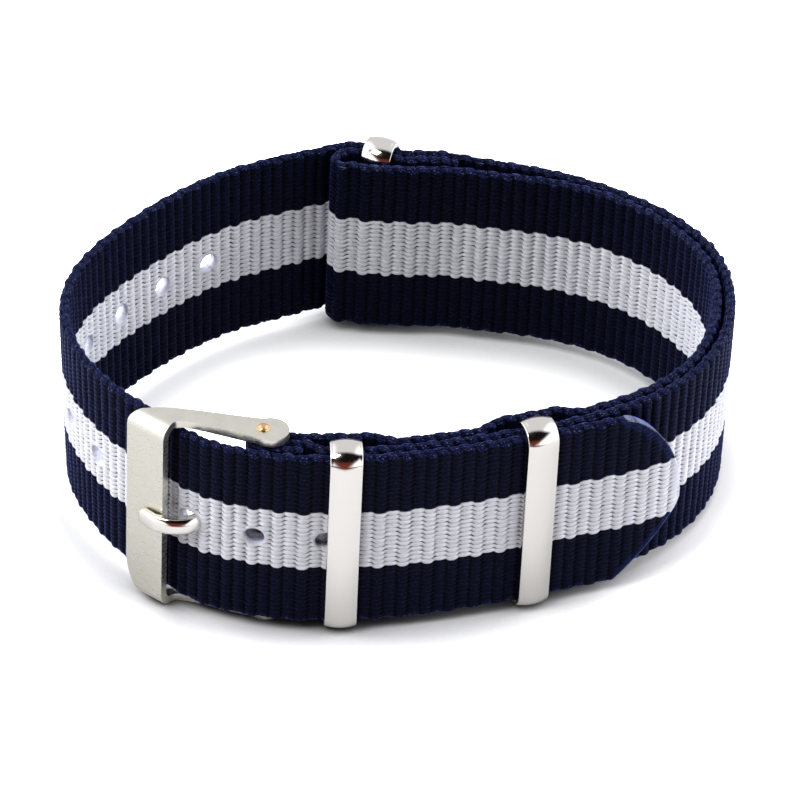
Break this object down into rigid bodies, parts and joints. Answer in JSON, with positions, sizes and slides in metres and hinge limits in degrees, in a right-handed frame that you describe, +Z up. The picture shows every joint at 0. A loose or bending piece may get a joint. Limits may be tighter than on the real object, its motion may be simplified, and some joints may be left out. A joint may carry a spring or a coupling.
{
  "type": "watch strap",
  "caption": "Fastened pull-through watch strap of striped woven webbing, standing on edge, with a steel tang buckle and steel keeper rings.",
  "frame": {"origin": "middle of the ground rectangle round the closed strap, on the surface that its lower edge stands on", "axes": "+Z up across the webbing, from its lower edge to its upper edge; +X to the right along the length of the closed oval, from the buckle's bar towards the tail; +Y to the back, from the buckle side to the watch side"},
  "size_m": [0.0658, 0.0542, 0.0223],
  "materials": {
    "webbing": "navy woven nylon with white stripes",
    "short_webbing": "navy woven nylon with white stripes",
    "frame_steel": "satin",
    "pin_metal": "peened",
    "tang_steel": "polished",
    "keeper_steel": "polished"
  },
  "bodies": {
    "strap": {"long_strap": "webbing", "short_strap": "short_webbing"},
    "buckle": {"buckle_frame": "frame_steel", "buckle_pin": "pin_metal"},
    "tang": {"buckle_tang": "tang_steel"},
    "buckle_side_keeper": {"buckle_keeper": "keeper_steel"},
    "tail_side_keeper": {"tail_keeper": "keeper_steel"},
    "end_side_keeper": {"end_keeper": "keeper_steel"}
  },
  "joints": [
    {"name": "buckle_hinge", "type": "hinge", "parent": "strap", "child": "buckle", "pos_m": [-0.01209, -0.02327, 0.01097], "axis": [0, 0, 1], "range_deg": [-4, 0]},
    {"name": "tang_hinge", "type": "hinge", "parent": "strap", "child": "tang", "pos_m": [-0.01209, -0.02327, 0.01097], "axis": [0, 0, 1], "range_deg": [0, 2]},
    {"name": "buckle_keeper_slide", "type": "slide", "parent": "strap", "child": "buckle_side_keeper", "axis": [0.9964, 0.0845, 0], "range_m": [-0.0002, 0.001]},
    {"name": "tail_keeper_slide", "type": "slide", "parent": "strap", "child": "tail_side_keeper", "axis": [0.9331, 0.3597, 0], "range_m": [-0.001, 0.001]},
    {"name": "end_keeper_swing", "type": "hinge", "parent": "strap", "child": "end_side_keeper", "pos_m": [-0.00253, 0.02325, 0.01097], "axis": [0, 0, 1], "range_deg": [0, 5]}
  ]
}
